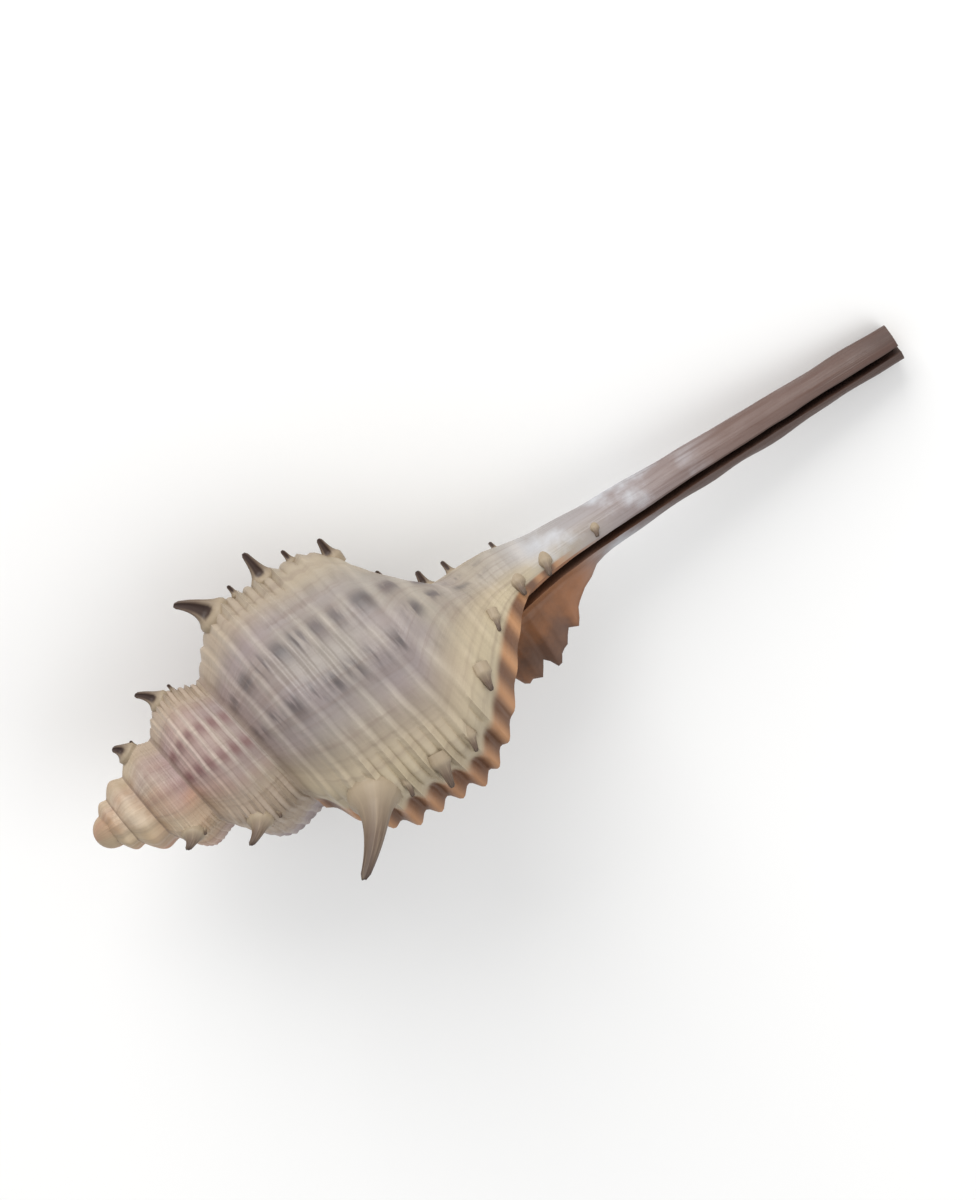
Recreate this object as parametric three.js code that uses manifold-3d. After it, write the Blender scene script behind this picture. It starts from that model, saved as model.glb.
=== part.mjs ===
// A spiny murex sea shell, lying as it comes to rest: on the spines of two of its varices and on the
// end of its long siphonal canal, with the thick varix at the lip of its mouth turned up.
// Millimetres, +Z up, resting on z = 0, with the origin under the middle of the shell.
import * as THREE from "three";
import { mergeVertices } from "three/addons/utils/BufferGeometryUtils.js";
import Module from "manifold-3d";

// "Along" runs on the shell's axis, from the tip of the spire to the end of the canal.
const LENGTH = 75;

// Growth. A turn counts whorls from the tip of the spire, and the lip is where the last one ends.
const WHORLS = 5;
const GROWTH = 1.68; // each whorl is this much larger than the one before
const LIP_SIZE = 17.6; // size of the last whorl at the lip
const APEX_OFFSET = 1.2; // how far the spiral's own vanishing point lies beyond the blunt tip

// Section of a whorl. These are shares of its size, and a "drop" is measured from the suture above.
const SUTURE_DROP = GROWTH - 1; // where the next whorl covers this one
const SHOULDER_DROP = 0.36;
const PERIPHERY = 0.592;
const DRAW_IN = 0.15; // how much a whorl of the spire draws in towards the next suture
const SUTURE_DEPTH = (PERIPHERY * (1 - DRAW_IN)) / GROWTH;
const LAST_DRAWN_IN = WHORLS - 1; // the last whorl keeps its full width further down
const DRAWN_OUT = LAST_DRAWN_IN + 0.3;
const NECK_START = 0.88;
const NECK_END = 1.48;
const BLUNTNESS = 1.5; // added to every whorl's radius
const DOME = 2.2; // how far from the tip it takes effect
const TIP_HEIGHT = 0.6; // of the blunt tip above the first whorl

// Canal.
const CANAL_START = 42.6; // from here down the lip and the columella close into one tube
const CANAL_RADIUS = 2.15;
const CANAL_TAPER = 0.65; // how much thinner the tube is at its end
const NECK_RADIUS = 1.0; // extra thickness where the tube leaves the body
const NECK_FADE = 4.5;
const TAPER_START = 38;
const AXIS_START = -2; // the columella thickens from here
const AXIS_FULL = 22; // to its full width here
const TWIST_START = 29;
const TWIST_FADE = 9;
const TWIST = THREE.MathUtils.degToRad(50); // how far the slit turns back against the coiling

// Varices and ribs: three thick ridges to a whorl, with four low ribs between each two.
const VARICES = 3;
const RIBS = 15;
const LIP_BEYOND_CREST = 0.058; // turns from the crest of the last varix to the edge of the lip
const VARIX_WIDTH = 0.034; // turns
const VARIX_HEIGHT = 0.064; // share of the whorl's size
const LIP_VARIX_EXTRA = 1.2;
const LIP_FLARE = 0.034; // how far the lip's own edge turns up in front of its varix
const FLARE_START = 0.6; // share of the way from the crest to the lip
const LIP_FRONT_WIDTH = 0.066; // the last varix slopes gently down to the lip
const RIB_HEIGHT = 0.014;
const RELIEF_GAIN = 4.5; // millimetres of whorl size that small whorls' relief gains
const RELIEF_AT_SUTURE = 0.55; // share of its height that the relief has at the suture
const RELIEF_GROWN = 0.374; // and what it gains by the shoulder
const RELIEF_LOST = 0.45; // share that it loses again lower down, between these two drops
const RELIEF_LOST_FROM = 0.68;
const RELIEF_LOST_TO = 1.1;

// Inner lip: a blade that stands out of the columella on the far side of the mouth.
const BLADE_TURN = WHORLS - 1 + 0.165;
const BLADE_WIDTH = 0.028; // turns
const BLADE_HEIGHT = 4.6;
const BLADE_MIDDLE = 36.5;
const BLADE_LENGTH = 6.5;

// Mouth. The hollow is an egg-shaped section that shrinks back along the coil. The slit is where the
// canal's bore opens to one side.
const MOUTH_MIDDLE = 28.2;
const MOUTH_HALF_LENGTH = 9.3;
const HOLLOW_TURNS = 0.79;
const HOLLOW_AHEAD = 0.06; // turns in front of the lip, where the cut for the hollow starts
const SLIT_WIDTH = 0.6;
const SLIT_AHEAD = THREE.MathUtils.degToRad(16); // beyond the edge of the lip
const LIP_THICKNESS = 1.1;
const INNER_LIP_THICKNESS = 0.7;
const LEAST_HOLLOW = 0.3;
const GUTTER_START = 36.5;
const BORE_SHARE = 0.36; // of the canal's radius
const BORE_BACK = 0.6; // how far back the bore keeps its full width, as a share of its radius
const SLIT_FLOOR = 0.5; // from the axis, where the bore narrows to the slit
const SLIT_REACH = 5;

// Spines of a varix on the last whorl. A lean is towards the spire, in radians.
const SPINY_VARICES = 7;
const LIP_SPINE = 7.6;
const SPINE_ROOT = 0.9; // how deep a spine starts inside the wall
const LEAST_SPINE = 0.5; // spines of the small whorls are no thinner than this share
const LIP_SPINE_LEAN = 0.42;
const LIP_ROW_AHEAD = 0.75; // the lip's lower spines point forwards, over its edge
const LIP_ROW_SHARE = 0.7; // and are this much smaller
const BODY_SPINES = [
  { drop: 0.27, length: 3.8, base: 1.4, lean: 0.62 },
  { drop: 0.62, length: 3.0, base: 1.0, lean: 0.1 },
  { drop: 1.0, length: 2.1, base: 0.8, lean: 0.05 },
  { drop: 1.36, length: 1.8, base: 0.7, lean: 0 },
];

// Resting attitude.
const LIE_ROLL = THREE.MathUtils.degToRad(137.64);
const LIE_PITCH = THREE.MathUtils.degToRad(8.29);

// Fineness of the faceted surface.
const STEPS = 48; // around one whorl
const SPIRE_COLUMNS = 6; // from one suture to the next
const BODY_COLUMNS = 20; // from there to where the canal closes
const CANAL_COLUMNS = 7;
const RING_POINTS = 20; // around the hollow
const SPINE_SIDES = 8;
const SPINE_BANDS = 3;
const HOLLOW_STEPS = 26;
const GUTTER_STEPS = 12;

const wasm = await Module();
wasm.setup();

const size = (turn) => LIP_SIZE * GROWTH ** (turn - WHORLS);
const sutureAlong = (turn) => size(turn) - APEX_OFFSET;
const smoothstep = (x, from, to) => THREE.MathUtils.smoothstep(x, from, to);

// Radius of the canal's tube, and of the columella above it.
function canalRadius(along) {
  const down = Math.max(0, along - TAPER_START);
  const tube = CANAL_RADIUS - (CANAL_TAPER * down) / (LENGTH - TAPER_START);
  const neck = NECK_RADIUS * Math.exp(-down / NECK_FADE);
  return (tube + neck) * smoothstep(along, AXIS_START, AXIS_FULL);
}

// Height of the varices and ribs, as a share of the whorl's size.
function sculpture(turn) {
  const fromCrest = turn - (WHORLS - LIP_BEYOND_CREST);
  const nearest = fromCrest - Math.round(fromCrest * VARICES) / VARICES;
  const atLip = Math.abs(fromCrest) < 0.5 / VARICES ? LIP_VARIX_EXTRA : 1;
  const width = fromCrest > 0 ? LIP_FRONT_WIDTH : VARIX_WIDTH;
  const ridge = Math.exp(-((nearest / width) ** 2));
  const rib = 0.5 + 0.5 * Math.cos(2 * Math.PI * RIBS * fromCrest);
  const flareStart = FLARE_START * LIP_BEYOND_CREST;
  const flare = LIP_FLARE * smoothstep(fromCrest, flareStart, LIP_BEYOND_CREST);
  return VARIX_HEIGHT * atLip * ridge + RIB_HEIGHT * rib * (1 - ridge) + flare;
}

// Distance of the shell's outer surface from its axis.
function radius(turn, along) {
  const drop = (along - sutureAlong(turn)) / size(turn);
  const rise = Math.sin((Math.PI / 2) * THREE.MathUtils.clamp(drop / SHOULDER_DROP, 0, 1));
  const drawn = DRAW_IN * (1 - smoothstep(turn, LAST_DRAWN_IN, DRAWN_OUT));
  const lower = smoothstep(drop, SHOULDER_DROP, SUTURE_DROP);
  const whorl = SUTURE_DEPTH + (PERIPHERY - SUTURE_DEPTH) * rise - PERIPHERY * drawn * lower;
  const lost = RELIEF_LOST * smoothstep(drop, RELIEF_LOST_FROM, RELIEF_LOST_TO);
  const relief = sculpture(turn) * (RELIEF_AT_SUTURE + RELIEF_GROWN * rise) * (1 - lost);
  const neck = smoothstep(drop, NECK_START, NECK_END);
  const ridges = relief * (size(turn) + RELIEF_GAIN);
  const blunt = BLUNTNESS * (1 - Math.exp(-(along + TIP_HEIGHT) / DOME));
  const body = (size(turn) * whorl + ridges + blunt) * (1 - neck);
  return Math.hypot(body ** 2, canalRadius(along) ** 2) ** 0.5 + innerLip(turn, along);
}

// How far the inner lip's blade stands out at a place.
function innerLip(turn, along) {
  const across = (turn - BLADE_TURN) / BLADE_WIDTH;
  const lengthwise = (along - BLADE_MIDDLE) / BLADE_LENGTH;
  return BLADE_HEIGHT * Math.exp(-(across ** 2) - Math.abs(lengthwise) ** 3);
}

const twist = (along) => TWIST * (1 - Math.exp(-Math.max(0, along - TWIST_START) / TWIST_FADE));
const heading = (turn, along) => 2 * Math.PI * (turn - WHORLS) - twist(along);

// The point at a distance along and from the axis, which is X. The lip's edge heads along +Y.
function place(along, distance, angle) {
  return new THREE.Vector3(along, distance * Math.cos(angle), distance * Math.sin(angle));
}

const surfacePoint = (turn, along) => place(along, radius(turn, along), heading(turn, along));

// Where the columns of the surface's grid lie, from the suture down.
function columnAlong(turn, column) {
  const top = sutureAlong(turn);
  const covered = top + SUTURE_DROP * size(turn);
  if (column <= SPIRE_COLUMNS) return THREE.MathUtils.lerp(top, covered, column / SPIRE_COLUMNS);
  const lower = column - SPIRE_COLUMNS;
  if (lower <= BODY_COLUMNS) return THREE.MathUtils.lerp(covered, CANAL_START, lower / BODY_COLUMNS);
  return THREE.MathUtils.lerp(CANAL_START, LENGTH, (lower - BODY_COLUMNS) / CANAL_COLUMNS);
}

// A closed surface, gathered triangle by triangle.
class Skin {
  constructor() {
    this.points = [];
  }

  triangle(a, b, c) {
    this.points.push(a, b, c);
  }

  quad(a, b, c, d) {
    this.triangle(a, b, c);
    this.triangle(a, c, d);
  }

  // A strip of the coil between two turns, over a range of its columns.
  strip(firstStep, lastStep, lastColumn) {
    for (let step = firstStep; step < lastStep; step++) {
      for (let column = 0; column < lastColumn; column++) {
        this.quad(
          gridPoint(step, column),
          gridPoint(step + 1, column),
          gridPoint(step + 1, column + 1),
          gridPoint(step, column + 1),
        );
      }
    }
  }

  // Triangles between two lines that start and end at the same points.
  lace(left, right) {
    let l = 0;
    let r = 0;
    while (l < left.length - 1 || r < right.length - 1) {
      const leftNext = l < left.length - 1 ? left[l + 1].x : Infinity;
      const rightNext = r < right.length - 1 ? right[r + 1].x : Infinity;
      if (leftNext <= rightNext) this.triangle(right[r], left[l], left[++l]);
      else this.triangle(right[r], left[l], right[++r]);
    }
  }

  // A closed tube through rings of points, with a flat end at each ring it starts and ends with.
  tube(rings) {
    for (let i = 0; i + 1 < rings.length; i++) {
      rings[i].forEach((point, j) => {
        const k = (j + 1) % rings[i].length;
        this.quad(point, rings[i][k], rings[i + 1][k], rings[i + 1][j]);
      });
    }
    this.end(rings[0], true);
    this.end(rings.at(-1), false);
  }

  end(ring, reversed) {
    const middle = new THREE.Vector3();
    ring.forEach((point) => middle.addScaledVector(point, 1 / ring.length));
    ring.forEach((point, j) => {
      const next = ring[(j + 1) % ring.length];
      if (reversed) this.triangle(middle, next, point);
      else this.triangle(middle, point, next);
    });
  }

  geometry() {
    const loose = new THREE.BufferGeometry().setFromPoints(this.points);
    const merged = mergeVertices(loose, 1e-4);
    const kept = [];
    for (let i = 0; i < merged.index.count; i += 3) {
      const [a, b, c] = [0, 1, 2].map((k) => merged.index.getX(i + k));
      if (a !== b && b !== c && c !== a) kept.push(a, b, c);
    }
    return merged.setIndex(kept);
  }
}

// A point of the surface's grid. Each suture, and the closed canal, is shared with the whorl before.
function gridPoint(step, column) {
  const shared = step >= STEPS && column === 0;
  if (shared) return gridPoint(step - STEPS, SPIRE_COLUMNS);
  const closed = step === STEPS * WHORLS && column >= SPIRE_COLUMNS + BODY_COLUMNS;
  if (closed) return gridPoint(step - STEPS, column);
  const turn = step / STEPS;
  return surfacePoint(turn, columnAlong(turn, column));
}

// manifold-3d solid of a closed geometry, turned inside out if its faces point inwards.
function solidOf(geometry) {
  const triVerts = new Uint32Array(geometry.index.array);
  const vertProperties = new Float32Array(geometry.attributes.position.array);
  const solid = new wasm.Manifold(new wasm.Mesh({ numProp: 3, vertProperties, triVerts }));
  if (solid.volume() > 0) return solid;
  const turned = triVerts.map((_, i) => triVerts[i - (i % 3) + (2 - (i % 3))]);
  return new wasm.Manifold(new wasm.Mesh({ numProp: 3, vertProperties, triVerts: turned }));
}

// The coiled shell before its mouth is hollowed: spire, last whorl, canal and the face at the lip.
function coiledBody() {
  const skin = new Skin();
  const lipStep = STEPS * WHORLS;
  const closing = SPIRE_COLUMNS + BODY_COLUMNS;
  const allColumns = closing + CANAL_COLUMNS;
  skin.strip(0, lipStep - STEPS, SPIRE_COLUMNS);
  skin.strip(lipStep - STEPS, lipStep, allColumns);
  const lip = [];
  for (let column = 0; column <= closing; column++) lip.push(gridPoint(lipStep, column));
  const columella = [];
  for (let column = SPIRE_COLUMNS; column <= closing; column++) {
    columella.push(gridPoint(lipStep - STEPS, column));
  }
  skin.lace(columella, lip);
  const tip = new THREE.Vector3(-TIP_HEIGHT, 0, 0);
  const canalEnd = new THREE.Vector3(LENGTH, 0, 0);
  for (let step = 0; step < STEPS; step++) {
    skin.triangle(tip, gridPoint(step + 1, 0), gridPoint(step, 0));
    const last = lipStep - STEPS + step;
    skin.triangle(gridPoint(last, allColumns), gridPoint(last + 1, allColumns), canalEnd);
  }
  // The coil's own start, from the tip down to the first suture.
  const firstSuture = gridPoint(STEPS, 0);
  skin.triangle(tip, gridPoint(0, 0), firstSuture);
  for (let column = 1; column < SPIRE_COLUMNS; column++) {
    skin.triangle(firstSuture, gridPoint(0, column - 1), gridPoint(0, column));
  }
  return skin.geometry();
}

// The section of the hollow at a turn: an egg between the columella and the outer wall.
function hollowRing(turn) {
  const scale = size(turn) / LIP_SIZE;
  const ring = [];
  for (let i = 0; i < RING_POINTS; i++) {
    const around = (2 * Math.PI * i) / RING_POINTS;
    const lipAlong = MOUTH_MIDDLE + MOUTH_HALF_LENGTH * Math.cos(around);
    const along = (lipAlong + APEX_OFFSET) * scale - APEX_OFFSET;
    const outer = radius(turn, along) - LIP_THICKNESS * scale;
    const inner = radius(turn - 1, along) + INNER_LIP_THICKNESS * scale;
    const share = 0.5 + 0.5 * Math.sin(around);
    const distance = inner + Math.max(outer - inner, LEAST_HOLLOW) * share;
    ring.push(place(along, distance, heading(turn, along)));
  }
  return ring;
}

// The hollow behind the mouth, from just in front of the lip back along the coil to a round end.
function hollow() {
  const skin = new Skin();
  const rings = [];
  for (let step = 0; step <= HOLLOW_STEPS; step++) {
    rings.push(hollowRing(WHORLS + HOLLOW_AHEAD - (HOLLOW_TURNS * step) / HOLLOW_STEPS));
  }
  skin.tube(rings);
  return solidOf(skin.geometry());
}

// The gutter down the canal: a round bore that opens along one side in a slit.
function gutter() {
  const skin = new Skin();
  const rings = [];
  for (let step = 0; step <= GUTTER_STEPS; step++) {
    const along = THREE.MathUtils.lerp(GUTTER_START, LENGTH + 1, step / GUTTER_STEPS);
    const bore = BORE_SHARE * canalRadius(along);
    const aim = SLIT_AHEAD - twist(along);
    const section = [[-bore, 0], [-BORE_BACK * bore, bore], [SLIT_FLOOR, bore], [SLIT_REACH, SLIT_WIDTH / 2]];
    const closed = [...section, ...section.slice(1).reverse().map(([x, y]) => [x, -y])];
    rings.push(closed.map(([x, y]) => place(along, Math.hypot(x, y), aim + Math.atan2(y, x))));
  }
  skin.tube(rings);
  return solidOf(skin.geometry());
}

// A spine of a varix: a cone that leans back towards the spire, and over the lip's edge if asked to.
function spine(turn, along, length, base, lean, ahead) {
  const cone = new THREE.ConeGeometry(base, length + SPINE_ROOT, SPINE_SIDES, SPINE_BANDS);
  cone.deleteAttribute("normal");
  cone.deleteAttribute("uv");
  cone.translate(0, (length - SPINE_ROOT) / 2, 0);
  const outward = place(0, 1, heading(turn, along) + ahead);
  const direction = outward.multiplyScalar(Math.cos(lean)).setX(-Math.sin(lean));
  const turnTo = new THREE.Quaternion().setFromUnitVectors(new THREE.Vector3(0, 1, 0), direction);
  cone.applyQuaternion(turnTo);
  cone.translate(...surfacePoint(turn, along).toArray());
  return solidOf(mergeVertices(cone, 1e-4));
}

// The spines of every varix: a long one on the shoulder, shorter ones below it and on the canal.
function spines() {
  const made = [];
  for (let varix = 0; varix < SPINY_VARICES; varix++) {
    const turn = WHORLS - LIP_BEYOND_CREST - varix / VARICES;
    const scale = size(turn) / LIP_SIZE;
    const onBody = turn > WHORLS - 1;
    const row = onBody ? BODY_SPINES : BODY_SPINES.slice(0, 1);
    for (const { drop, length, base, lean } of row) {
      const along = sutureAlong(turn) + drop * size(turn);
      const thick = base * Math.max(scale, LEAST_SPINE);
      if (varix > 0) {
        made.push(spine(turn, along, length * scale, thick, lean, 0));
      } else if (drop === BODY_SPINES[0].drop) {
        made.push(spine(turn, along, LIP_SPINE, base, LIP_SPINE_LEAN, 0));
      } else {
        const share = LIP_ROW_SHARE;
        made.push(spine(turn, along, length * share, base * share, lean, LIP_ROW_AHEAD));
      }
    }
  }
  return made;
}

let shell = solidOf(coiledBody());
for (const added of spines()) shell = shell.add(added);
shell = shell.subtract(hollow()).subtract(gutter());

// The largest body only, as a geometry, laid in the resting attitude on z = 0.
function laidGeometry(solid) {
  const bodies = solid.decompose().sort((a, b) => b.volume() - a.volume());
  const mesh = bodies[0].getMesh();
  const geometry = new THREE.BufferGeometry();
  geometry.setAttribute("position", new THREE.BufferAttribute(mesh.vertProperties, 3));
  geometry.setIndex(new THREE.BufferAttribute(mesh.triVerts, 1));
  geometry.rotateX(LIE_ROLL);
  geometry.rotateY(LIE_PITCH);
  geometry.computeBoundingBox();
  const middle = geometry.boundingBox.getCenter(new THREE.Vector3());
  geometry.translate(-middle.x, -middle.y, -geometry.boundingBox.min.z);
  geometry.computeVertexNormals();
  return geometry;
}

const nacre = new THREE.MeshStandardMaterial({ color: 0xb3a392, roughness: 0.55, metalness: 0 });
const murex = new THREE.Mesh(laidGeometry(shell), nacre);
murex.name = "murex_shell";

const part = new THREE.Group();
part.add(murex);

export default part;
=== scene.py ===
"""A spiny murex shell, lying on two of its varices and the end of its canal on a pale studio floor."""
import math

import bmesh
import bpy
from mathutils import Matrix, Vector, kdtree, noise


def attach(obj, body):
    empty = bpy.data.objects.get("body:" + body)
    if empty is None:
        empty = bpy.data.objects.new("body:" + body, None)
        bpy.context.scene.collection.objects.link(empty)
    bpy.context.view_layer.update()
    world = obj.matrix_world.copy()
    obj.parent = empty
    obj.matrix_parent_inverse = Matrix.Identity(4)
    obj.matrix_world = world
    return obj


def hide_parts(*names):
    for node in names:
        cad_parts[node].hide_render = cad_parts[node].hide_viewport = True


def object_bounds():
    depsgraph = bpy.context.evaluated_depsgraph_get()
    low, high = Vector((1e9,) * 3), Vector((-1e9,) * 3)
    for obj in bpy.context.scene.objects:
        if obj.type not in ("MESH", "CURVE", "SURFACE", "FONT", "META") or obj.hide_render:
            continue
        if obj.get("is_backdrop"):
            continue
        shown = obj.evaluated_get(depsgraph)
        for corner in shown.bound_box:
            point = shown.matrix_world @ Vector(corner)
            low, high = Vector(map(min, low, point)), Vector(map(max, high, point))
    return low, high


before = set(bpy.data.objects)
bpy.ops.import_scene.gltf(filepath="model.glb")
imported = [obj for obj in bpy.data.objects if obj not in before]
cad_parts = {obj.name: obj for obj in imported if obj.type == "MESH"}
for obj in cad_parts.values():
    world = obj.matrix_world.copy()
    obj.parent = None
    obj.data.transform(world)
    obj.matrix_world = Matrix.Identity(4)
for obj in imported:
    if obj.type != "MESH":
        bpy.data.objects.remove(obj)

CAD_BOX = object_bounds()
MM = 0.001

# Growth, in millimetres and turns, as the solid shell has it.
LENGTH = 75.0
WHORLS = 5
GROWTH = 1.68
LIP_SIZE = 17.6
APEX_OFFSET = 1.2
TIP_HEIGHT = 0.6
SUTURE_DROP = GROWTH - 1
SHOULDER_DROP = 0.36
PERIPHERY = 0.592
DRAW_IN = 0.15
SUTURE_DEPTH = PERIPHERY * (1 - DRAW_IN) / GROWTH
LAST_DRAWN_IN = WHORLS - 1
DRAWN_OUT = LAST_DRAWN_IN + 0.3
NECK_START = 0.88
NECK_END = 1.48
BLUNTNESS = 1.5
DOME = 2.2
CANAL_START = 42.6
CANAL_RADIUS = 2.15
CANAL_TAPER = 0.65
NECK_RADIUS = 1.0
NECK_FADE = 4.5
TAPER_START = 38.0
AXIS_START = -2.0
AXIS_FULL = 22.0
TWIST_START = 29.0
TWIST_FADE = 9.0
TWIST = math.radians(50)
VARICES = 3
RIBS = 15
LIP_BEYOND_CREST = 0.058
VARIX_WIDTH = 0.034
VARIX_HEIGHT = 0.064
LIP_VARIX_EXTRA = 1.2
LIP_FRONT_WIDTH = 0.066
LIP_FLARE = 0.034
FLARE_START = 0.6
RIB_HEIGHT = 0.014
RELIEF_GAIN = 4.5
RELIEF_AT_SUTURE = 0.55
RELIEF_GROWN = 0.374
RELIEF_LOST = 0.45
RELIEF_LOST_FROM = 0.68
RELIEF_LOST_TO = 1.1
BLADE_TURN = WHORLS - 1 + 0.165
BLADE_WIDTH = 0.028
BLADE_HEIGHT = 4.6
BLADE_MIDDLE = 36.5
BLADE_LENGTH = 6.5
BLADE_WAVES = [(0.10, 2.3, 0.0), (0.08, 4.1, 1.0)]  # height, pace and phase of its uneven edge
WOBBLE = 0.16
WOBBLE_AROUND = 1.6
WOBBLE_ALONG = 0.3

# Resting attitude, and the shift that stands the shell in the middle of the floor.
LIE_ROLL = math.radians(137.64)
LIE_PITCH = math.radians(8.29)
SHIFT = Vector((-36.9188, -1.7971, 12.2974))

# Fine surface. A cord is four columns of the grid wide.
STEPS = 216
SPIRE_COLUMNS = 48
BODY_COLUMNS = 64
CANAL_COLUMNS = 36
CORD_COLUMNS = 4
CORD_HEIGHT = 0.0055
VARIX_CORD_HEIGHT = 0.015
SMOOTH_UNTIL = 2.3  # the first whorls are smooth
CORDED_FROM = 3.5
FLUTE_HEIGHT = 0.022
BETWEEN_CORDS = 0.25  # where a cord's wave is level
SECOND_CORD = 0.25  # every other cord is this much as high
FLUTES_FROM = 0.004  # turns past the lip's crest, between which cords give way to flutes
FLUTES_FULL = 0.03


def smoothstep(x, low, high):
    t = min(1.0, max(0.0, (x - low) / (high - low)))
    return t * t * (3 - 2 * t)


def size(turn):
    return LIP_SIZE * GROWTH ** (turn - WHORLS)


def suture_along(turn):
    return size(turn) - APEX_OFFSET


def canal_radius(along):
    down = max(0.0, along - TAPER_START)
    tube = CANAL_RADIUS - CANAL_TAPER * down / (LENGTH - TAPER_START)
    neck = NECK_RADIUS * math.exp(-down / NECK_FADE)
    return (tube + neck) * smoothstep(along, AXIS_START, AXIS_FULL)


def ridge_at(turn):
    """How far up a varix a turn is, from 0 to 1, and how far it is past the varix's crest."""
    from_crest = turn - (WHORLS - LIP_BEYOND_CREST)
    nearest = from_crest - round(from_crest * VARICES) / VARICES
    width = LIP_FRONT_WIDTH if from_crest > 0 else VARIX_WIDTH
    return math.exp(-((nearest / width) ** 2)), nearest, abs(from_crest) < 0.5 / VARICES


def relief(turn, cord):
    """Height of varices, ribs and spiral cords, as a share of the whorl's size."""
    ridge, past, at_lip = ridge_at(turn)
    from_crest = turn - (WHORLS - LIP_BEYOND_CREST)
    rib = 0.5 + 0.5 * math.cos(2 * math.pi * RIBS * from_crest)
    wave = math.cos(2 * math.pi * cord)
    strong = 1.0 if round(cord) % 2 == 0 else SECOND_CORD
    beyond = smoothstep(past, FLUTES_FROM, FLUTES_FULL) if at_lip else 0
    cords = (CORD_HEIGHT * (1 - ridge) + VARIX_CORD_HEIGHT * ridge) * (1 - beyond)
    cords *= smoothstep(turn, SMOOTH_UNTIL, CORDED_FROM)
    flute = FLUTE_HEIGHT * beyond * math.cos(math.pi * cord)
    height = VARIX_HEIGHT * (LIP_VARIX_EXTRA if at_lip else 1) * ridge
    flare = LIP_FLARE * smoothstep(from_crest, FLARE_START * LIP_BEYOND_CREST, LIP_BEYOND_CREST)
    return height + RIB_HEIGHT * rib * (1 - ridge) + cords * strong * wave + flute + flare


def inner_lip(turn, along):
    """How far the inner lip's blade stands out of the columella."""
    across = (turn - BLADE_TURN) / BLADE_WIDTH
    lengthwise = (along - BLADE_MIDDLE) / BLADE_LENGTH
    uneven = 1 + sum(high * math.sin(along * pace + phase) for high, pace, phase in BLADE_WAVES)
    return BLADE_HEIGHT * uneven * math.exp(-(across ** 2) - abs(lengthwise) ** 3)


def wobble(turn, along):
    """The slight unevenness of a shell that grew."""
    around = 2 * math.pi * turn
    spot = (WOBBLE_AROUND * math.cos(around), WOBBLE_AROUND * math.sin(around), along * WOBBLE_ALONG)
    return WOBBLE * noise.noise(Vector(spot))


def radius(turn, along, cord=None):
    """Distance of the outer surface from the axis. With no cord, it is the wall without unevenness."""
    drop = (along - suture_along(turn)) / size(turn)
    rise = math.sin(math.pi / 2 * min(1.0, max(0.0, drop / SHOULDER_DROP)))
    drawn = DRAW_IN * (1 - smoothstep(turn, LAST_DRAWN_IN, DRAWN_OUT))
    lower = smoothstep(drop, SHOULDER_DROP, SUTURE_DROP)
    whorl = SUTURE_DEPTH + (PERIPHERY - SUTURE_DEPTH) * rise - PERIPHERY * drawn * lower
    height = relief(turn, BETWEEN_CORDS if cord is None else cord)
    height *= RELIEF_AT_SUTURE + RELIEF_GROWN * rise
    height *= 1 - RELIEF_LOST * smoothstep(drop, RELIEF_LOST_FROM, RELIEF_LOST_TO)
    neck = smoothstep(drop, NECK_START, NECK_END)
    ridges = height * (size(turn) + RELIEF_GAIN)
    blunt = BLUNTNESS * (1 - math.exp(-(along + TIP_HEIGHT) / DOME))
    body = (size(turn) * whorl + ridges + blunt) * (1 - neck)
    plain = math.sqrt(math.hypot(body ** 2, canal_radius(along) ** 2))
    return plain + inner_lip(turn, along) + (0 if cord is None else wobble(turn, along))


def twist(along):
    return TWIST * (1 - math.exp(-max(0.0, along - TWIST_START) / TWIST_FADE))


def heading(turn, along):
    return 2 * math.pi * (turn - WHORLS) - twist(along)


def place(along, distance, angle):
    return Vector((along, distance * math.cos(angle), distance * math.sin(angle)))


def column_along(turn, column):
    top = suture_along(turn)
    covered = top + SUTURE_DROP * size(turn)
    if column <= SPIRE_COLUMNS:
        return top + (covered - top) * column / SPIRE_COLUMNS
    lower = column - SPIRE_COLUMNS
    if lower <= BODY_COLUMNS:
        return covered + (CANAL_START - covered) * lower / BODY_COLUMNS
    return CANAL_START + (LENGTH - CANAL_START) * (lower - BODY_COLUMNS) / CANAL_COLUMNS


# ---------------------------------------------------------------- making the shell's surface

def lay_grid(x_cells, y_cells, corner):
    """A grid whose corners go where the function says, with growth and zone kept as UV maps."""
    bm = bmesh.new()
    bmesh.ops.create_grid(bm, x_segments=x_cells, y_segments=y_cells, size=1.0)
    growth = bm.loops.layers.uv.new("Growth")
    zone = bm.loops.layers.uv.new("Zone")
    laid = {}
    for vert in bm.verts:
        column = round((vert.co.x + 1) / 2 * x_cells)
        row = round((vert.co.y + 1) / 2 * y_cells)
        laid[vert] = corner(column, row)
    for face in bm.faces:
        for loop in face.loops:
            loop[growth].uv, loop[zone].uv = laid[loop.vert][1:]
    for vert, (point, _, _) in laid.items():
        vert.co = point
    return bm


def coil_sheet(first_step, last_step, last_column):
    """A stretch of the coil, from its suture down to a column."""

    def corner(step, column):
        step += first_step
        turn = step / STEPS
        along = column_along(turn, column)
        growth = (turn, column / CORD_COLUMNS)
        return grid_point(step, column), growth, (along / 100, 0.0)

    return lay_grid(last_step - first_step, last_column, corner)


def grid_point(step, column):
    """A point of the surface. Each suture, and the closed canal, is shared with the whorl before."""
    if step >= STEPS and column == 0:
        return grid_point(step - STEPS, SPIRE_COLUMNS)
    if step == STEPS * WHORLS and column >= SPIRE_COLUMNS + BODY_COLUMNS:
        return grid_point(step - STEPS, column)
    turn = step / STEPS
    along = column_along(turn, column)
    return place(along, radius(turn, along, column / CORD_COLUMNS), heading(turn, along))


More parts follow.
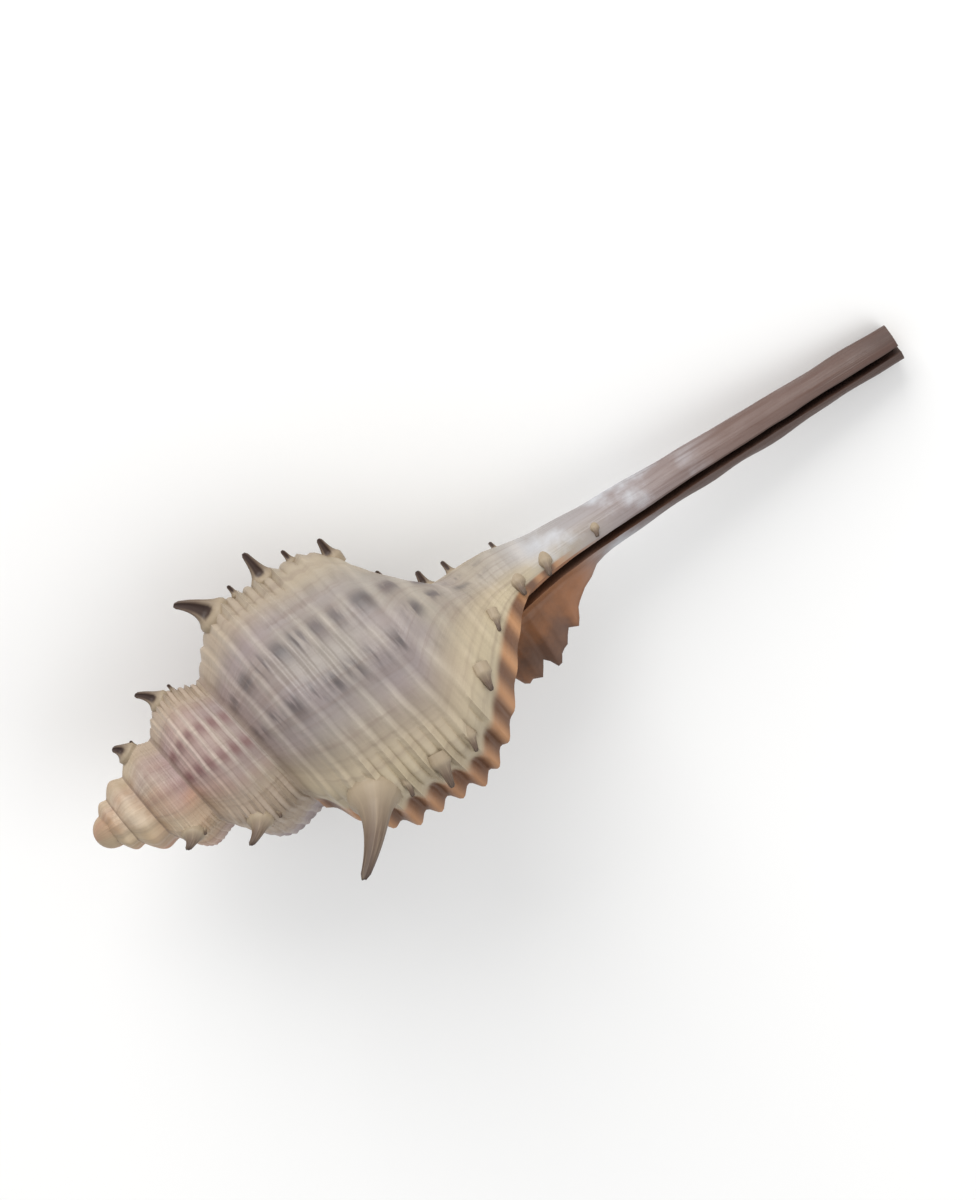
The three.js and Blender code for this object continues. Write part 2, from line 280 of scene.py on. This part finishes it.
def object_from(bm, name, materials):
    mesh = bpy.data.meshes.new(name)
    bm.to_mesh(mesh)
    bm.free()
    for material in materials:
        mesh.materials.append(material)
    made = bpy.data.objects.new(name, mesh)
    bpy.context.scene.collection.objects.link(made)
    return made


def take_in(bm, other):
    """Adds another bmesh's faces, and frees it."""
    scratch = bpy.data.meshes.new("scratch")
    other.to_mesh(scratch)
    other.free()
    bm.from_mesh(scratch)
    bpy.data.meshes.remove(scratch)


def lace(bm, left, right):
    """Triangles between two chains of vertices that start and end together."""
    l = r = 0
    while l < len(left) - 1 or r < len(right) - 1:
        left_next = left[l + 1].co.x if l < len(left) - 1 else math.inf
        right_next = right[r + 1].co.x if r < len(right) - 1 else math.inf
        if left_next <= right_next:
            corners = (right[r], left[l], left[l + 1])
            l += 1
        else:
            corners = (right[r], left[l], right[r + 1])
            r += 1
        if len(set(corners)) == 3:
            bm.faces.new(corners)


def coiled_body(materials):
    """Spire, last whorl and canal as one closed skin, with a wall across the mouth."""
    lip_step = STEPS * WHORLS
    closing = SPIRE_COLUMNS + BODY_COLUMNS
    last_column = closing + CANAL_COLUMNS
    spire = coil_sheet(0, lip_step - STEPS, SPIRE_COLUMNS)
    bm = coil_sheet(lip_step - STEPS, lip_step, last_column)
    take_in(bm, spire)
    bmesh.ops.remove_doubles(bm, verts=bm.verts, dist=1e-5)
    verts = list(bm.verts)
    spots = kdtree.KDTree(len(verts))
    for index, vert in enumerate(verts):
        spots.insert(vert.co, index)
    spots.balance()

    def vertex(step, column):
        return verts[spots.find(grid_point(step, column))[1]]

    lip = [vertex(lip_step, column) for column in range(closing + 1)]
    columella = [vertex(lip_step - STEPS, column) for column in range(SPIRE_COLUMNS, closing + 1)]
    lace(bm, columella, lip)
    tip = bm.verts.new((-TIP_HEIGHT, 0, 0))
    top = [vertex(step, 0) for step in range(STEPS + 1)]
    for here, following in zip(top, top[1:]):
        bm.faces.new((tip, following, here))
    start = [vertex(0, column) for column in range(SPIRE_COLUMNS)]
    bm.faces.new((tip, start[0], top[-1]))
    for upper, lower in zip(start, start[1:]):
        bm.faces.new((top[-1], upper, lower))
    end = [vertex(lip_step - STEPS + step, last_column) for step in range(STEPS)]
    bm.faces.new(end)
    bmesh.ops.recalc_face_normals(bm, faces=bm.faces)
    return object_from(bm, "murex_shell", materials)


def closed_tube(lengthwise, around, corner, name, material):
    """A tube whose rings close on themselves, with a cap at each end."""
    bm = lay_grid(lengthwise, around, corner)
    bmesh.ops.remove_doubles(bm, verts=bm.verts, dist=1e-5)
    rims = [edge for edge in bm.edges if edge.is_boundary]
    bmesh.ops.holes_fill(bm, edges=rims, sides=0)
    bmesh.ops.recalc_face_normals(bm, faces=bm.faces)
    return object_from(bm, name, [material])


# ---------------------------------------------------------------- mouth and canal

MOUTH_MIDDLE = 28.2
MOUTH_HALF_LENGTH = 9.3
HOLLOW_TURNS = 0.79
HOLLOW_AHEAD = 0.06
LIP_THICKNESS = 1.1
INNER_LIP_THICKNESS = 0.7
LEAST_HOLLOW = 0.3
HOLLOW_STEPS = 80
HOLLOW_AROUND = 96
LIRA_HEIGHT = 0.12
LIRAE = 14
GUTTER_START = 36.5
GUTTER_STEPS = 90
RAGGED = 0.12
RAGGED_PACE = (0.55, 0.3, 4.0)
BORE_SHARE = 0.36
SLIT_REACH = 5.0
SLIT_WIDTH = 0.6
SLIT_AHEAD = math.radians(16)


def hollow(material):
    """The room behind the mouth: an egg-shaped section that shrinks back along the coil."""

    def corner(step, part):
        turn = WHORLS + HOLLOW_AHEAD - HOLLOW_TURNS * step / HOLLOW_STEPS
        scale = size(turn) / LIP_SIZE
        around = 2 * math.pi * (part % HOLLOW_AROUND) / HOLLOW_AROUND
        lip_along = MOUTH_MIDDLE + MOUTH_HALF_LENGTH * math.cos(around)
        along = (lip_along + APEX_OFFSET) * scale - APEX_OFFSET
        outer = radius(turn, along) - LIP_THICKNESS * scale
        inner = radius(turn - 1, along) + INNER_LIP_THICKNESS * scale
        share = 0.5 + 0.5 * math.sin(around)
        lira = LIRA_HEIGHT * scale * share * math.cos(LIRAE * around * 2)
        distance = inner + max(outer - inner, LEAST_HOLLOW) * share - lira
        growth = (turn, part / HOLLOW_AROUND)
        return place(along, distance, heading(turn, along)), growth, (along / 100, share)

    return closed_tube(HOLLOW_STEPS, HOLLOW_AROUND, corner, "hollow", material)


def gutter(material):
    """The bore of the canal with the slit that opens it to one side."""
    section = [(-1.0, 0.0), (-0.85, 0.55), (-0.3, 0.95), (0.3, 0.9), (0.75, 0.6)]
    outline = section + [(x, -y) for x, y in section[:0:-1]]

    def corner(step, part):
        along = GUTTER_START + (LENGTH + 1 - GUTTER_START) * step / GUTTER_STEPS
        bore = BORE_SHARE * canal_radius(along)
        aim = SLIT_AHEAD - twist(along)
        pace_along, pace_around, start = RAGGED_PACE
        ragged = RAGGED * noise.noise(Vector((along * pace_along, part * pace_around, start)))
        slit = SLIT_WIDTH / 2 + ragged
        points = [(x * bore, y * bore) for x, y in outline[:5]]
        points += [(SLIT_REACH, slit), (SLIT_REACH, -slit)]
        points += [(x * bore, y * bore) for x, y in outline[5:]]
        x, y = points[part % len(points)]
        growth = (along / 10, part / 12)
        angle = aim + math.atan2(y, x)
        return place(along, math.hypot(x, y), angle), growth, (along / 100, math.hypot(x, y) / 3)

    return closed_tube(GUTTER_STEPS, len(outline) + 2, corner, "gutter", material)


# ---------------------------------------------------------------- spines

SPINE_ROOT = 0.9
SPINE_RINGS = 16
SPINE_AROUND = 20
SPINY_VARICES = 9
LIP_SPINE = 7.6
LIP_SPINE_LEAN = 0.42
LIP_SPINE_BASE = 1.6
LIP_ROW_AHEAD = 0.75
LIP_ROW_SHARE = 0.7
LEAST_SPINE = 0.5
LEAST_PRICKLE = 0.45
PRICKLE_STRETCH = 1.2
PRICKLE_BASE = 0.36
PRICKLE_LEAN = 0.15
GROOVE_DEPTH = 0.75
FLATTENED = 0.85  # a spine's section from front to back
ROUNDED_TIP = 0.55
BODY_SPINES = [
    # drop from the suture, length, radius at the base, lean towards the spire
    (0.27, 3.8, 1.4, 0.62),
    (0.62, 3.0, 1.0, 0.10),
    (1.00, 2.1, 0.8, 0.05),
    (1.36, 1.8, 0.7, 0.0),
]
PRICKLES = [(0.44, 0.9), (0.80, 1.1), (1.18, 1.0), (1.52, 1.2), (1.80, 0.8)]


def spine(turn, along, length, base, lean, ahead, material):
    """A spine with a groove up its front, where the mantle's fold made it."""
    root = place(along, radius(turn, along), heading(turn, along))
    outward = place(0, 1, heading(turn, along) + ahead)
    forward = Vector((1, 0, 0)).cross(outward).normalized()
    tip_radius = 0.16 * base + 0.12

    def corner(step, part):
        t = step / SPINE_RINGS
        reach = -SPINE_ROOT + (length + SPINE_ROOT) * t
        up = min(1.0, max(0.0, reach) / length)
        bow = lean * (0.75 + 0.5 * up)
        direction = outward * math.cos(bow) - Vector((math.sin(bow), 0, 0))
        side = direction.cross(forward)
        flare = 0.55 * base * math.exp(-max(0.0, reach) / (0.45 * base))
        thick = tip_radius + (base * 0.85 - tip_radius) * (1 - up) ** 1.15 + flare
        if step == SPINE_RINGS:
            thick *= ROUNDED_TIP
        around = 2 * math.pi * (part % SPINE_AROUND) / SPINE_AROUND
        groove = max(0.0, math.cos(around)) ** 5 * GROOVE_DEPTH * smoothstep(reach, 0.0, 0.5)
        ring = (forward * math.cos(around) * FLATTENED + side * math.sin(around)) * thick
        point = root + direction * reach + ring - forward * groove * thick
        return point, (part / SPINE_AROUND, up), (along / 100, groove)

    return closed_tube(SPINE_RINGS, SPINE_AROUND, corner, "spine", material)


def all_spines(material):
    """A long spine on each varix's shoulder, shorter ones below it, and prickles between them."""
    made = []
    for varix in range(SPINY_VARICES):
        turn = WHORLS - LIP_BEYOND_CREST - varix / VARICES
        scale = size(turn) / LIP_SIZE
        on_body = turn > WHORLS - 1
        rows = BODY_SPINES if on_body else BODY_SPINES[:1]
        for index, (drop, length, base, lean) in enumerate(rows):
            along = suture_along(turn) + drop * size(turn)
            reach = length * scale
            base *= max(scale, LEAST_SPINE)
            ahead = 0
            if varix == 0 and index == 0:
                reach, base, lean = LIP_SPINE, LIP_SPINE_BASE, LIP_SPINE_LEAN
            elif varix == 0:
                reach, base, ahead = length * LIP_ROW_SHARE, base * LIP_ROW_SHARE, LIP_ROW_AHEAD
            made.append(spine(turn, along, reach, base, lean, ahead, material))
        ahead = 0 if varix else LIP_ROW_AHEAD
        for drop, length in PRICKLES if on_body else PRICKLES[:1]:
            along = suture_along(turn) + drop * size(turn)
            reach = length * max(scale, LEAST_PRICKLE)
            made.append(spine(turn, along, PRICKLE_STRETCH * reach, PRICKLE_BASE * reach, PRICKLE_LEAN,
                              ahead, material))
    return made


# ---------------------------------------------------------------- tip of the spire

NUB_RADIUS = 1.5
NUB_RINGS = 16
NUB_AROUND = 32


def protoconch(material):
    """The rounded beginning of the shell, at the tip of the spire."""

    def corner(step, part):
        polar = math.pi * step / NUB_RINGS
        along = NUB_RADIUS - TIP_HEIGHT - NUB_RADIUS * math.cos(polar)
        distance = max(0.05, NUB_RADIUS * math.sin(polar))
        around = 2 * math.pi * (part % NUB_AROUND) / NUB_AROUND
        return place(along, distance, around), (part / NUB_AROUND, 4 + step / 4), (along / 100, 0)

    return closed_tube(NUB_RINGS, NUB_AROUND, corner, "protoconch", material)


# ---------------------------------------------------------------- joining

def combine(target, tool, operation):
    """Joins one closed solid to another, or cuts it away, and removes the tool."""
    modifier = target.modifiers.new("combine", "BOOLEAN")
    modifier.solver = "MANIFOLD"
    modifier.operation = operation
    modifier.material_mode = "TRANSFER"
    modifier.object = tool
    graph = bpy.context.evaluated_depsgraph_get()
    result = bpy.data.meshes.new_from_object(target.evaluated_get(graph), depsgraph=graph)
    target.modifiers.clear()
    old = target.data
    target.data = result
    bpy.data.meshes.remove(old)
    bpy.data.objects.remove(tool)


def grow_shell(outer, inner, canal, horn):
    shell = coiled_body([outer])
    combine(shell, protoconch(outer), "UNION")
    for tool in all_spines(horn):
        combine(shell, tool, "UNION")
    combine(shell, hollow(inner), "DIFFERENCE")
    combine(shell, gutter(canal), "DIFFERENCE")
    return shell


# ---------------------------------------------------------------- materials

class Paint:
    """Short names for the nodes of one material."""

    def __init__(self, name):
        self.material = bpy.data.materials.new(name)
        self.material.use_nodes = True
        self.tree = self.material.node_tree
        self.shader = self.tree.nodes["Principled BSDF"]

    def node(self, kind, **settings):
        made = self.tree.nodes.new(kind)
        for key, value in settings.items():
            setattr(made, key, value)
        return made

    def feed(self, socket, value):
        if isinstance(value, bpy.types.NodeSocket):
            self.tree.links.new(value, socket)
        elif value is not None:
            socket.default_value = value

    def uv(self, layer):
        """The two numbers that a UV map holds."""
        split = self.node("ShaderNodeSeparateXYZ")
        self.feed(split.inputs[0], self.node("ShaderNodeUVMap", uv_map=layer).outputs[0])
        return split.outputs[0], split.outputs[1]

    def math(self, operation, *values):
        made = self.node("ShaderNodeMath", operation=operation)
        for socket, value in zip(made.inputs, values):
            self.feed(socket, value)
        return made.outputs[0]

    def times(self, first, *others):
        """Several numbers multiplied together."""
        for other in others:
            first = self.math("MULTIPLY", first, other)
        return first

    def span(self, value, low, high, out_low=0.0, out_high=1.0):
        """A smooth step from one value to another."""
        made = self.node("ShaderNodeMapRange", interpolation_type="SMOOTHSTEP")
        for socket, number in zip(made.inputs, (value, low, high, out_low, out_high)):
            self.feed(socket, number)
        return made.outputs[0]

    def vector(self, x, y, z=0.0):
        made = self.node("ShaderNodeCombineXYZ")
        for socket, number in zip(made.inputs, (x, y, z)):
            self.feed(socket, number)
        return made.outputs[0]

    def here(self):
        return self.node("ShaderNodeTexCoord").outputs["Object"]

    def noise(self, where, scale, detail=4.0, rough=0.55):
        made = self.node("ShaderNodeTexNoise")
        self.feed(made.inputs["Vector"], where)
        self.feed(made.inputs["Scale"], scale)
        self.feed(made.inputs["Detail"], detail)
        self.feed(made.inputs["Roughness"], rough)
        return made.outputs[0]

    def mix(self, amount, under, over, blend="MIX"):
        made = self.node("ShaderNodeMix", data_type="RGBA", blend_type=blend)
        self.feed(made.inputs[0], amount)
        self.feed(made.inputs[6], under)
        self.feed(made.inputs[7], over)
        return made.outputs[2]

    def ramp(self, value, stops):
        made = self.node("ShaderNodeValToRGB")
        self.feed(made.inputs[0], value)
        elements = made.color_ramp.elements
        while len(elements) < len(stops):
            elements.new(1.0)
        for element, (position, colour) in zip(elements, stops):
            element.position = position
            element.color = tone(colour)
        return made.outputs[0]

    def waves(self, value, power=1.0):
        """A ridge at each whole number, from 0 between them to 1."""
        turned = self.math("COSINE", self.times(value, 2 * math.pi))
        return self.math("POWER", self.math("MULTIPLY_ADD", turned, 0.5, 0.5), power)

    def bump(self, height, distance, strength=1.0, onto=None):
        made = self.node("ShaderNodeBump")
        made.inputs["Strength"].default_value = strength
        made.inputs["Distance"].default_value = distance
        self.feed(made.inputs["Height"], height)
        self.feed(made.inputs["Normal"], onto)
        return made.outputs[0]

    def finish(self, colour, roughness, normal, specular=0.4):
        self.feed(self.shader.inputs["Base Color"], colour)
        self.feed(self.shader.inputs["Roughness"], roughness)
        self.feed(self.shader.inputs["Normal"], normal)
        self.shader.inputs["Specular IOR Level"].default_value = specular
        return self.material


def tone(hex_colour):
    """A colour as a painter names it, in linear light."""
    channels = [int(hex_colour[i:i + 2], 16) / 255 for i in (0, 2, 4)]
    linear = [c / 12.92 if c <= 0.04045 else ((c + 0.055) / 1.055) ** 2.4 for c in channels]
    return (*linear, 1.0)


def glaze(paint, colour, turn, cord, along, cloud):
    """The orange-brown front of the lip with painted shade in its flute grooves, a painted dark brown
    shade beside the canal's slit, and the inner lip's glaze.
    """
    front = paint.span(turn, WHORLS - 0.042, WHORLS - 0.026)
    # The lip front is orange-brown; its flute grooves are painted darker brown as shade and the flute
    # crests lighter.
    flute = paint.waves(paint.times(cord, 0.5), 1.5)
    fluted = paint.mix(flute, tone("5a3824"), tone("a47650"))
    fluted = paint.mix(paint.span(cloud, 0.4, 0.7, 0.0, 0.4), fluted, tone("7c4e30"))
    front = paint.times(front, paint.span(along, 0.45, 0.42), 0.92)
    colour = paint.mix(front, colour, fluted)
    past_lip = paint.span(turn, 3.99, 4.0)
    # Painted shade: a dark brown band along the columella side of the canal's slit, where the groove's
    # shadow falls.
    behind = paint.times(past_lip, paint.span(turn, 4.30, 4.20), paint.span(along, 0.46, 0.54), 0.75)
    colour = paint.mix(behind, colour, tone("432f27"))
    inner = paint.times(past_lip, paint.span(turn, 4.20, 4.165), paint.span(cord, 11.9, 12.6),
                        paint.span(along, 0.48, 0.43), 0.95)
    stain = paint.mix(paint.span(cloud, 0.38, 0.60), tone("80522f"), tone("533421"))
    return paint.mix(inner, colour, stain)


def outer_wall():
    """Grey-beige to mauve wall: pale cords, dark dashes where ribs cross the spaces, creamy varices,
    with painted shade in the valleys between cords and a painted highlight on the canal.
    """
    paint = Paint("shell_outer")
    turn, cord = paint.uv("Growth")
    along, _ = paint.uv("Zone")
    here = paint.here()
    cloud = paint.noise(here, 160, 5)
    patch = paint.noise(here, 70, 3)
    wander = paint.math("MULTIPLY_ADD", patch, 0.08, -0.04)
    ground = paint.ramp(paint.math("ADD", along, wander), [
        (0.00, "9c8468"), (0.04, "ad9272"), (0.08, "a3877f"), (0.13, "8f7e79"),
        (0.20, "888079"), (0.28, "8b847c"), (0.36, "958b7b"), (0.43, "949090"),
        (0.50, "857a79"), (0.58, "725f59"), (0.67, "5d4841"), (0.75, "412d26"),
    ])
    whorls = paint.span(along, 0.40, 0.32)
    rust = paint.times(paint.span(patch, 0.50, 0.62), paint.span(along, 0.13, 0.05), 0.75)
    ground = paint.mix(rust, ground, tone("b9804f"))
    pale = paint.times(paint.span(cloud, 0.52, 0.66), paint.span(along, 0.15, 0.06), 0.7)
    ground = paint.mix(pale, ground, tone("ddcdb4"))
    lilac = paint.times(paint.span(paint.noise(here, 95, 2), 0.42, 0.62), whorls, 0.5)
    ground = paint.mix(lilac, ground, tone("82767c"))
    wavy = paint.math("ADD", cord, paint.math("MULTIPLY_ADD", paint.noise(here, 240, 2), 0.5, -0.25))
    grown = paint.span(turn, SMOOTH_UNTIL, CORDED_FROM)
    crest = paint.times(paint.waves(paint.times(wavy, 0.5), 2.2), paint.span(along, 0.47, 0.38), grown)
    thread = paint.times(paint.waves(paint.times(wavy, 1.5), 2.0), paint.span(along, 0.45, 0.36), grown)
    valley = paint.math("SUBTRACT", 1.0, crest)
    from_crest = paint.math("ADD", turn, LIP_BEYOND_CREST)
    rib = paint.waves(paint.times(from_crest, RIBS), 1.4)
    between = paint.waves(paint.math("MULTIPLY_ADD", from_crest, VARICES, 0.5))
    away = paint.span(between, 0.12, 0.75)
    streak = paint.noise(paint.vector(paint.times(turn, 9.0), cord), 1.3, 3)
    spire = paint.span(turn, 4.15, 3.9)
    broken = paint.math("MAXIMUM", paint.span(streak, 0.38, 0.56), spire)
    dash = paint.times(valley, rib, away, broken, whorls, grown)
    dark = paint.mix(spire, tone("454041"), tone("6b4444"))
    colour = paint.mix(paint.times(dash, 0.9), ground, dark)
    # Painted shade: the valleys between the cords are darkened, as if shadow lay in them.
    shade = paint.times(valley, whorls, paint.span(cloud, 0.35, 0.6, 0.05, 0.3))
    colour = paint.mix(shade, colour, tone("7b6a66"))
    light = paint.times(crest, paint.span(cloud, 0.36, 0.64, 0.05, 0.55))
    colour = paint.mix(light, colour, tone("b0a69b"))
    cream = paint.times(paint.span(between, 0.7, 0.1), paint.span(along, 0.50, 0.40), 0.55)
    colour = paint.mix(cream, colour, tone("a5957a"))
    lip = paint.times(paint.span(turn, 4.87, 4.94), paint.span(along, 0.46, 0.40), 0.5)
    colour = paint.mix(lip, colour, tone("b3a689"))
    suture = paint.times(paint.span(cord, 1.1, 0.0), 0.6)
    colour = paint.mix(suture, colour, tone("6a574c"))
    lines = paint.noise(paint.vector(paint.times(turn, 55.0), paint.times(along, 6.0)), 1.6, 5)
    colour = paint.mix(paint.span(lines, 0.45, 0.75, 0.0, 0.35), colour, tone("6d5a50"))
    # Painted highlight: patches of pale bluish grey on the neck and canal, standing in for light
    # falling on them.
    canal_highlight = paint.times(paint.span(cloud, 0.44, 0.60), paint.span(along, 0.38, 0.44),
                        paint.span(along, 0.60, 0.50))
    colour = paint.mix(paint.times(canal_highlight, 0.75), colour, tone("b9bcc2"))
    lengthwise = paint.noise(paint.vector(paint.times(turn, 26.0), paint.times(along, 14.0)), 1.0, 4)
    grain = paint.times(paint.span(lengthwise, 0.42, 0.66), paint.span(along, 0.46, 0.56), 0.55)
    colour = paint.mix(grain, colour, tone("54392f"))
    colour = glaze(paint, colour, turn, cord, along, cloud)
    pits = paint.noise(here, 1500, 3)
    height = paint.math("ADD", paint.times(lines, 0.6), paint.times(thread, 0.3))
    normal = paint.bump(height, 0.00014, 0.8)
    normal = paint.bump(pits, 0.00004, 0.6, normal)
    rough = paint.span(cloud, 0.3, 0.7, 0.40, 0.60)
    return paint.finish(colour, rough, normal, 0.45)


def mouth_wall():
    """The orange-brown glaze inside the mouth, paler on its raised lirae."""
    paint = Paint("shell_mouth")
    turn, around = paint.uv("Growth")
    _, share = paint.uv("Zone")
    here = paint.here()
    deep = paint.span(turn, WHORLS, WHORLS - 0.35)
    colour = paint.mix(deep, tone("b07a4a"), tone("a2541c"))
    lirae = paint.waves(paint.times(around, 2.0 * LIRAE), 1.4)
    lirae = paint.times(lirae, share)
    colour = paint.mix(paint.times(lirae, 0.5), colour, tone("d9b58a"))
    cloud = paint.noise(here, 260, 4)
    colour = paint.mix(paint.span(cloud, 0.45, 0.7, 0.0, 0.45), colour, tone("744526"))
    edge = paint.span(turn, WHORLS - 0.025, WHORLS)
    colour = paint.mix(paint.times(edge, 0.5), colour, tone("7b4f30"))
    return paint.finish(colour, 0.32, paint.bump(cloud, 0.00008, 0.5), 0.5)


def canal_wall():
    """The dark brown lining of the canal."""
    paint = Paint("shell_canal")
    along, _ = paint.uv("Zone")
    here = paint.here()
    cloud = paint.noise(here, 420, 5)
    colour = paint.ramp(along, [(0.36, "84563a"), (0.44, "5e4233"), (0.58, "4a342b"), (0.75, "3c2922")])
    colour = paint.mix(paint.span(cloud, 0.4, 0.7, 0.0, 0.4), colour, tone("6f574b"))
    return paint.finish(colour, 0.5, paint.bump(cloud, 0.0001, 0.6))


def horn():
    """A spine: body-coloured at the root, brown at the end, nearly black in its groove."""
    paint = Paint("shell_spine")
    around, up = paint.uv("Growth")
    _, groove = paint.uv("Zone")
    streaks = paint.noise(paint.vector(paint.times(around, 16.0), up), 1.2, 4)
    colour = paint.ramp(up, [(0.0, "93846f"), (0.2, "7a6b5a"), (0.5, "5d4c3f"), (1.0, "3c2c24")])
    colour = paint.mix(paint.span(streaks, 0.45, 0.7, 0.0, 0.35), colour, tone("9c8b75"))
    colour = paint.mix(paint.span(groove, 0.12, 0.5, 0.0, 0.95), colour, tone("32201a"))
    return paint.finish(colour, 0.5, paint.bump(streaks, 0.0001, 0.7))


def floor_finish():
    paint = Paint("studio_floor")
    soft = paint.noise(paint.here(), 3.0, 2)
    colour = paint.mix(soft, (0.80, 0.80, 0.80, 1.0), (0.86, 0.86, 0.855, 1.0))
    return paint.finish(colour, 0.85, None, 0.15)


# ---------------------------------------------------------------- laying down, floor, light, camera

LIE = Matrix.Rotation(LIE_PITCH, 3, "Y") @ Matrix.Rotation(LIE_ROLL, 3, "X")
VIEW_AROUND = math.radians(-66)  # the side of the whorl that the camera faces
AXIS_RISE = math.radians(32)  # of the shell's axis in the picture
LENS = 150
DISTANCE = 0.395


def lay_down(shell):
    """Turns the shell to its resting attitude, in metres, with its place in its mesh."""
    shell.data.transform(Matrix.Translation(SHIFT * MM) @ LIE.to_4x4() @ Matrix.Scale(MM, 4))
    shell.data.shade_smooth()
    shell.data.set_sharp_from_angle(angle=math.radians(62))


def picture_axes():
    """Right, up and towards the camera, in the laid shell's frame."""
    along = Vector((1, 0, 0))
    towards = Vector((0, math.cos(VIEW_AROUND), math.sin(VIEW_AROUND)))
    across = towards.cross(along)
    right = along * math.cos(AXIS_RISE) - across * math.sin(AXIS_RISE)
    up = along * math.sin(AXIS_RISE) + across * math.cos(AXIS_RISE)
    return LIE @ right, LIE @ up, LIE @ towards


def add_camera(target):
    right, up, towards = picture_axes()
    camera = bpy.data.objects.new("camera", bpy.data.cameras.new("camera"))
    camera.data.lens = LENS
    turned = Matrix((right, up, towards)).transposed().to_4x4()
    camera.matrix_world = Matrix.Translation(target + towards * DISTANCE) @ turned
    bpy.context.scene.collection.objects.link(camera)
    bpy.context.scene.camera = camera


def soft_light(name, target, direction, distance, width, watts, colour):
    data = bpy.data.lights.new(name, "AREA")
    data.size = width
    data.energy = watts
    data.color = colour
    light = bpy.data.objects.new(name, data)
    light.location = target + direction.normalized() * distance
    light.rotation_euler = direction.to_track_quat("Z", "Y").to_euler()
    bpy.context.scene.collection.objects.link(light)


def add_lights(target):
    right, up, towards = picture_axes()
    soft_light("key", target, towards + up * 0.9 - right * 0.5, 0.7, 0.5, 4.2, (1, 0.985, 0.96))
    soft_light("fill", target, towards * 0.8 + right * 0.9 - up * 0.4, 0.8, 0.7, 1.8, (0.97, 0.985, 1))
    world = bpy.data.worlds.new("studio")
    world.use_nodes = True
    backdrop = world.node_tree.nodes["Background"]
    backdrop.inputs[0].default_value = (1, 1, 1, 1)
    backdrop.inputs[1].default_value = 0.78
    bpy.context.scene.world = world


def add_floor():
    bm = bmesh.new()
    bmesh.ops.create_grid(bm, x_segments=2, y_segments=2, size=1.5)
    floor = object_from(bm, "floor", [floor_finish()])
    floor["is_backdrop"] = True


def main():
    shell = grow_shell(outer_wall(), mouth_wall(), canal_wall(), horn())
    lay_down(shell)
    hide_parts("murex_shell")
    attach(shell, "root")
    low, high = (Vector(corner) for corner in CAD_BOX)
    middle = (low + high) / 2
    add_floor()
    add_lights(middle)
    add_camera(middle)
    bpy.context.scene.view_settings.view_transform = "Standard"
    sizes = {"cad": [list(low), list(high)], "visual": [list(corner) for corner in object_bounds()]}


main()
